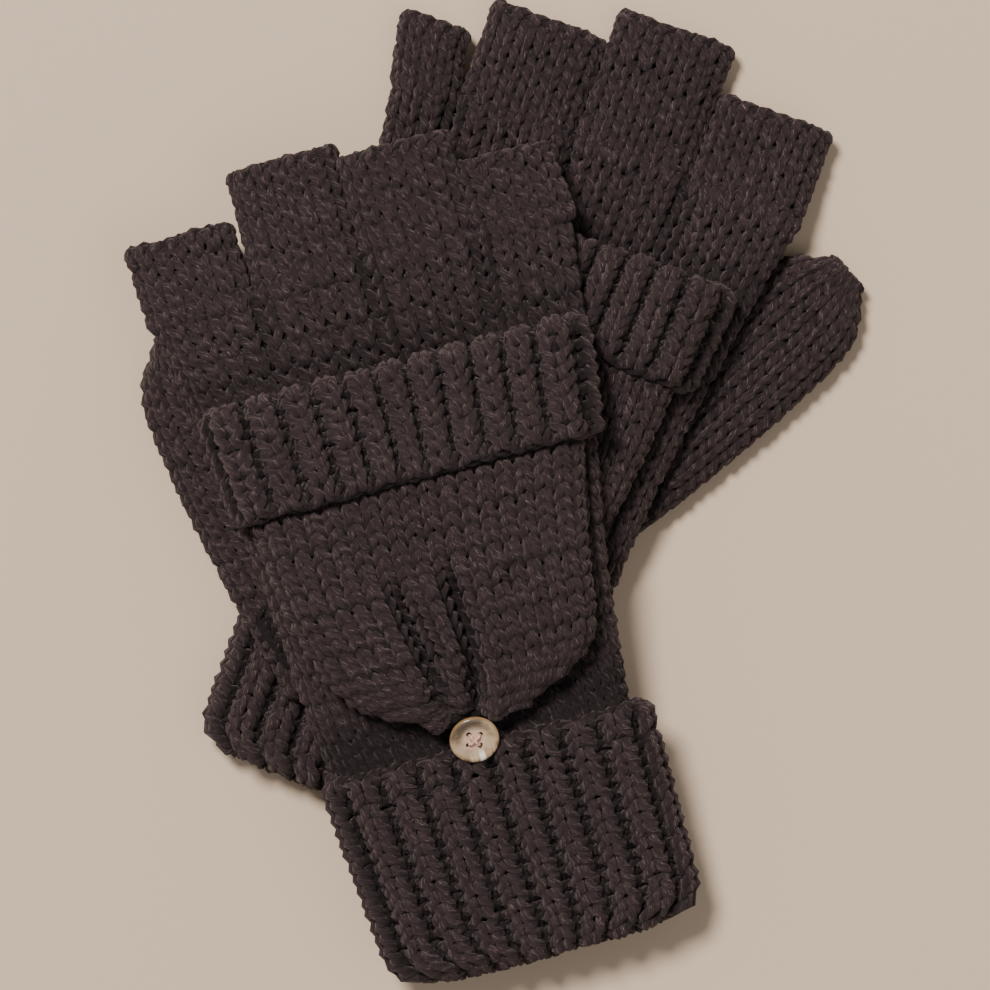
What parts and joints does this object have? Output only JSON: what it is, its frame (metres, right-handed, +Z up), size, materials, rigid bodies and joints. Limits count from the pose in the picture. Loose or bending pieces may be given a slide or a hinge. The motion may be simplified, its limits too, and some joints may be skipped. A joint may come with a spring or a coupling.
{
  "type": "convertible flip-top mittens",
  "caption": "Pair of chunky knitted half-finger mittens with fold-back hoods, each held by a button and loop at the wrist.",
  "frame": {"origin": "middle of the pair's underside, as the pair lies flat", "axes": "+Y towards the fingertips, +X to the wearer's view right, +Z up off the table"},
  "size_m": [0.2058, 0.2696, 0.052],
  "materials": {
    "knit": "matte",
    "rib": "matte",
    "thread": "matte",
    "horn": "satin"
  },
  "bodies": {
    "left_mitten": {"left_hand_shell": "knit", "left_cuff_inner": "rib", "left_index_stub": "knit", "left_middle_stub": "knit", "left_ring_stub": "knit", "left_little_stub": "knit", "left_hood_seam": "thread", "left_button_shank": "thread"},
    "left_hood": {"left_hood_pocket": "knit", "left_button_loop": "thread", "left_hood_rim_band": "rib"},
    "left_cuff_fold": {"left_cuff_turnback": "rib"},
    "left_thumb": {"left_thumb_sleeve": "knit"},
    "left_button_disc": {"left_button": "horn", "left_button_stitches": "thread"},
    "right_mitten": {"right_hand_shell": "knit", "right_cuff_inner": "rib", "right_index_stub": "knit", "right_middle_stub": "knit", "right_ring_stub": "knit", "right_little_stub": "knit", "right_hood_seam": "thread", "right_button_shank": "thread"},
    "right_hood": {"right_hood_pocket": "knit", "right_button_loop": "thread"},
    "right_rim": {"right_hood_rim_band": "rib"},
    "right_cuff_fold": {"right_cuff_turnback": "rib"},
    "right_thumb": {"right_thumb_sleeve": "knit"},
    "right_button_disc": {"right_button": "horn", "right_button_stitches": "thread"}
  },
  "joints": [
    {"name": "right_mitten_lift", "type": "slide", "parent": "left_mitten", "child": "right_mitten", "axis": [0, 0, 1], "range_m": [0, 0.36]},
    {"name": "left_hood_flip", "type": "hinge", "parent": "left_mitten", "child": "left_hood", "pos_m": [0.01692, 0.06989, 0.0266], "axis": [-0.9397, 0.342, 0], "range_deg": [0, 180], "deforming": ["left_button_loop"]},
    {"name": "left_cuff_unroll", "type": "slide", "parent": "left_mitten", "child": "left_cuff_fold", "axis": [-0.342, -0.9397, 0], "range_m": [0, 0.05]},
    {"name": "left_button_tilt", "type": "hinge", "parent": "left_mitten", "child": "left_button_disc", "pos_m": [-0.01516, -0.03314, 0.01852], "axis": [-0.9397, 0.342, 0], "range_deg": [0, 12]},
    {"name": "left_thumb_swing", "type": "hinge", "parent": "left_mitten", "child": "left_thumb", "pos_m": [0.02109, -0.0093, 0], "axis": [0, 0, -1], "range_deg": [0, 15]},
    {"name": "right_hood_flip", "type": "hinge", "parent": "right_mitten", "child": "right_hood", "pos_m": [-0.02901, 0.03582, 0.0448], "axis": [-0.9659, -0.2588, 0], "range_deg": [0, 180], "deforming": ["right_button_loop"]},
    {"name": "right_rim_unfold", "type": "hinge", "parent": "right_hood", "child": "right_rim", "pos_m": [-0.02901, 0.03582, 0.0445], "axis": [-0.9659, -0.2588, 0], "range_deg": [0, 180]},
    {"name": "right_cuff_unroll", "type": "slide", "parent": "right_mitten", "child": "right_cuff_fold", "axis": [0.2552, -0.9523, -0.1676], "range_m": [0, 0.05]},
    {"name": "right_button_tilt", "type": "hinge", "parent": "right_mitten", "child": "right_button_disc", "pos_m": [-0.00604, -0.06962, 0.03653], "axis": [-0.9659, -0.2588, 0], "range_deg": [0, 12]},
    {"name": "right_thumb_swing", "type": "hinge", "parent": "right_mitten", "child": "right_thumb", "pos_m": [-0.04331, -0.05186, 0], "axis": [0, 0, 1], "range_deg": [0, 6]}
  ],
  "couplings": [
    {"joint": "left_hood_flip", "follows": "right_mitten_lift", "rad_per_m": 8.72},
    {"joint": "left_cuff_unroll", "follows": "right_mitten_lift", "ratio": 0.138},
    {"joint": "right_thumb_swing", "follows": "right_mitten_lift", "rad_per_m": 0.286}
  ]
}
